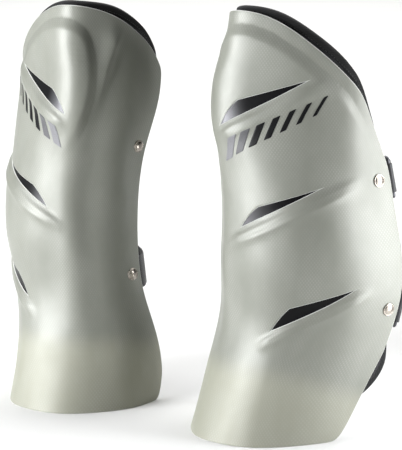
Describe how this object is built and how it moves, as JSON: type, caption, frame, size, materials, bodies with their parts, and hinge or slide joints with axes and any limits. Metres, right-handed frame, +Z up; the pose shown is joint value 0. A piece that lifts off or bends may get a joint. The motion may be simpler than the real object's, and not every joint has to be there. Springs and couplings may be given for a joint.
{
  "type": "ski racing shin guards",
  "caption": "Translucent moulded gate-racing shin guards with black slot inlays, padded liners and calf straps that close through wire rings.",
  "frame": {"origin": "on the floor under the middle of the pair, as the two guards stand on their bottom rims", "axes": "+Z up the shins, +Y away from the viewer, +X towards the guard for the left leg"},
  "size_m": [0.3704, 0.2969, 0.3792],
  "materials": {
    "shell": "translucent pearl, satin gloss",
    "inlay": "high gloss black",
    "graphic": "satin black print",
    "hook_tape": "nylon hook tape",
    "loop_tape": "nylon loop tape",
    "liner": "black nylon over closed-cell foam",
    "lining": "black brushed knit",
    "rivet_metal": "nickel plated",
    "tab": "black nylon",
    "ring_metal": "black oxide steel",
    "rubber_grip": "moulded black rubber",
    "strap": "black elastic webbing"
  },
  "bodies": {
    "left_guard": {"left_hook_patches": "hook_tape", "left_liner_binding": "liner", "left_liner_foam": "liner", "left_liner_lining": "lining", "left_loop_patches": "loop_tape", "left_ring_tab_lower": "tab", "left_ring_tab_upper": "tab", "left_rivet_inner_lower": "rivet_metal", "left_rivet_inner_upper": "rivet_metal", "left_rivet_outer_lower": "rivet_metal", "left_rivet_outer_upper": "rivet_metal", "left_rivet_washers": "rivet_metal", "left_shell": "shell", "left_slot_inlay_lower": "inlay", "left_slot_inlay_middle": "inlay", "left_slot_inlay_upper": "inlay", "left_strap_lower": "strap", "left_strap_upper": "strap", "left_stripe_graphic": "graphic"},
    "right_guard": {"right_hook_patches": "hook_tape", "right_liner_binding": "liner", "right_liner_foam": "liner", "right_liner_lining": "lining", "right_loop_patches": "loop_tape", "right_ring_tab_lower": "tab", "right_ring_tab_upper": "tab", "right_rivet_inner_lower": "rivet_metal", "right_rivet_inner_upper": "rivet_metal", "right_rivet_outer_lower": "rivet_metal", "right_rivet_outer_upper": "rivet_metal", "right_rivet_washers": "rivet_metal", "right_shell": "shell", "right_slot_inlay_lower": "inlay", "right_slot_inlay_middle": "inlay", "right_slot_inlay_upper": "inlay", "right_strap_lower": "strap", "right_strap_upper": "strap", "right_stripe_graphic": "graphic"},
    "left_upper_ring": {"left_ring_upper": "ring_metal"},
    "left_upper_tail": {"left_strap_tail_upper": "strap", "left_tail_hook_upper": "hook_tape", "left_pull_tab_upper": "rubber_grip"},
    "left_lower_ring": {"left_ring_lower": "ring_metal"},
    "left_lower_tail": {"left_strap_tail_lower": "strap", "left_tail_hook_lower": "hook_tape", "left_pull_tab_lower": "rubber_grip"},
    "right_upper_ring": {"right_ring_upper": "ring_metal"},
    "right_upper_tail": {"right_strap_tail_upper": "strap", "right_tail_hook_upper": "hook_tape", "right_pull_tab_upper": "rubber_grip"},
    "right_lower_ring": {"right_ring_lower": "ring_metal"},
    "right_lower_tail": {"right_strap_tail_lower": "strap", "right_tail_hook_lower": "hook_tape", "right_pull_tab_lower": "rubber_grip"}
  },
  "joints": [
    {"name": "right_guard_apart", "type": "slide", "parent": "left_guard", "child": "right_guard", "axis": [-1, 0, 0], "range_m": [0, 0.25]},
    {"name": "left_upper_ring_swing", "type": "hinge", "parent": "left_guard", "child": "left_upper_ring", "pos_m": [0.16904, -0.1011, 0.2308], "axis": [-0.1898, -0.0454, 0.9808], "range_deg": [-5, 5]},
    {"name": "left_upper_tail_peel", "type": "hinge", "parent": "left_guard", "child": "left_upper_tail", "pos_m": [0.17206, -0.09076, 0.23186], "axis": [0.1898, 0.0454, -0.9808], "range_deg": [0, 100]},
    {"name": "left_lower_ring_swing", "type": "hinge", "parent": "left_guard", "child": "left_lower_ring", "pos_m": [0.17855, -0.09864, 0.11424], "axis": [0.2101, -0.0213, 0.9775], "range_deg": [-5, 5]},
    {"name": "left_lower_tail_peel", "type": "hinge", "parent": "left_guard", "child": "left_lower_tail", "pos_m": [0.18227, -0.08849, 0.11366], "axis": [-0.2101, 0.0213, -0.9775], "range_deg": [0, 100]},
    {"name": "right_upper_ring_swing", "type": "hinge", "parent": "right_guard", "child": "right_upper_ring", "pos_m": [-0.16034, 0.1296, 0.2308], "axis": [0.0028, -0.1951, 0.9808], "range_deg": [-5, 5]},
    {"name": "right_upper_tail_peel", "type": "hinge", "parent": "right_guard", "child": "right_upper_tail", "pos_m": [-0.15107, 0.13508, 0.23186], "axis": [0.0028, -0.1951, 0.9808], "range_deg": [0, 100]},
    {"name": "right_lower_ring_swing", "type": "hinge", "parent": "right_guard", "child": "right_lower_ring", "pos_m": [-0.16031, 0.13943, 0.11424], "axis": [-0.0725, 0.1983, 0.9775], "range_deg": [-5, 5]},
    {"name": "right_lower_tail_peel", "type": "hinge", "parent": "right_guard", "child": "right_lower_tail", "pos_m": [-0.1514, 0.14553, 0.11366], "axis": [-0.0725, 0.1983, 0.9775], "range_deg": [0, 100]}
  ]
}
